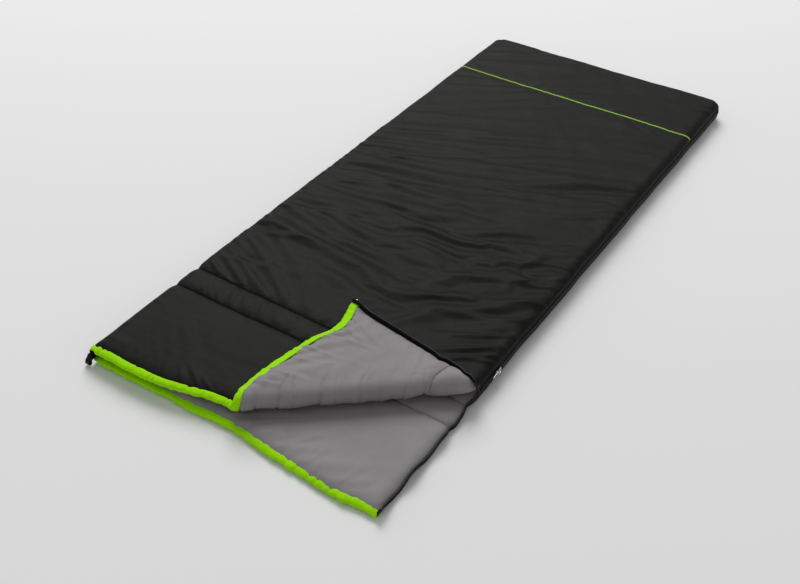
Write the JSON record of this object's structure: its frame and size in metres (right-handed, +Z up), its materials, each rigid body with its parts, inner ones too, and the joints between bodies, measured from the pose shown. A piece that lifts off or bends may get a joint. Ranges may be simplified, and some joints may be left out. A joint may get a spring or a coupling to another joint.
{
  "type": "rectangular sleeping bag",
  "caption": "Quilted rectangular sleeping bag with a side and foot zip, lying flat with one mouth corner folded back; it opens out into a flat quilt.",
  "frame": {"origin": "middle of the flat underside, on the ground", "axes": "+X across the bag towards the zip side, +Y along the bag from the mouth to the foot, +Z up"},
  "size_m": [0.8748, 2.0208, 0.093],
  "materials": {
    "shell_fabric": "satin",
    "lining_fabric": "matte",
    "padding": "matte",
    "binding_tape": "matte",
    "piping_cord": "satin",
    "zip_tape": "matte",
    "zip_coil": "satin",
    "zip_metal": "satin",
    "webbing": "matte"
  },
  "bodies": {
    "bottom_quilt": {"bottom_shell": "shell_fabric", "bottom_lining": "lining_fabric", "bottom_padding": "padding", "bottom_mouth_binding": "binding_tape", "bottom_zip_tape": "zip_tape", "bottom_zip_coil": "zip_coil", "bottom_zip_stop": "zip_metal", "zip_retainer_box": "zip_metal", "left_seam_cord": "webbing", "left_side_strip": "shell_fabric"},
    "top_quilt": {"top_shell": "shell_fabric", "foot_panel": "shell_fabric", "foot_piping": "piping_cord", "top_lining": "lining_fabric", "top_padding": "padding", "top_mouth_binding": "binding_tape", "top_zip_tape": "zip_tape", "top_zip_coil": "zip_coil", "zip_insertion_pin": "zip_metal", "fold_lining": "lining_fabric", "fold_padding": "padding"},
    "corner_flap": {"flap_shell": "shell_fabric", "flap_lining": "lining_fabric", "flap_padding": "padding", "flap_mouth_binding": "binding_tape", "flap_zip_tape": "zip_tape", "flap_zip_coil": "zip_coil", "flap_zip_stop": "zip_metal"},
    "main_slider": {"main_slider": "zip_metal"},
    "main_slider_pull": {"main_slider_pull": "zip_metal"},
    "foot_slider": {"foot_slider": "zip_metal"},
    "foot_slider_pull": {"foot_slider_pull": "zip_metal"},
    "hang_loop": {"hang_loop": "webbing"}
  },
  "joints": [
    {"name": "top_open", "type": "hinge", "parent": "bottom_quilt", "child": "top_quilt", "pos_m": [-0.427, 0, 0.031], "axis": [0, -1, 0], "range_deg": [0, 176], "deforming": ["left_side_strip"]},
    {"name": "corner_fold", "type": "hinge", "parent": "top_quilt", "child": "corner_flap", "pos_m": [-0.056, -1, 0.0623], "axis": [0.7604, 0.6494, 0], "range_deg": [0, 179], "deforming": ["fold_lining", "fold_padding"]},
    {"name": "main_slider_travel", "type": "slide", "parent": "bottom_quilt", "child": "main_slider", "axis": [0, 1, 0], "range_m": [-0.466, 1.44]},
    {"name": "main_pull_swing", "type": "hinge", "parent": "main_slider", "child": "main_slider_pull", "pos_m": [0.4323, -0.493, 0.031], "axis": [0, 0, 1], "range_deg": [0, 175]},
    {"name": "foot_slider_travel", "type": "slide", "parent": "bottom_quilt", "child": "foot_slider", "axis": [1, 0, 0], "range_m": [0, 0.75]},
    {"name": "foot_pull_swing", "type": "hinge", "parent": "foot_slider", "child": "foot_slider_pull", "pos_m": [-0.375, 1.0073, 0.031], "axis": [0, 0, -1], "range_deg": [0, 175]},
    {"name": "loop_swing", "type": "hinge", "parent": "bottom_quilt", "child": "hang_loop", "pos_m": [-0.432, -1.0065, 0.031], "axis": [-1, 0, 0], "range_deg": [0, 150]}
  ]
}
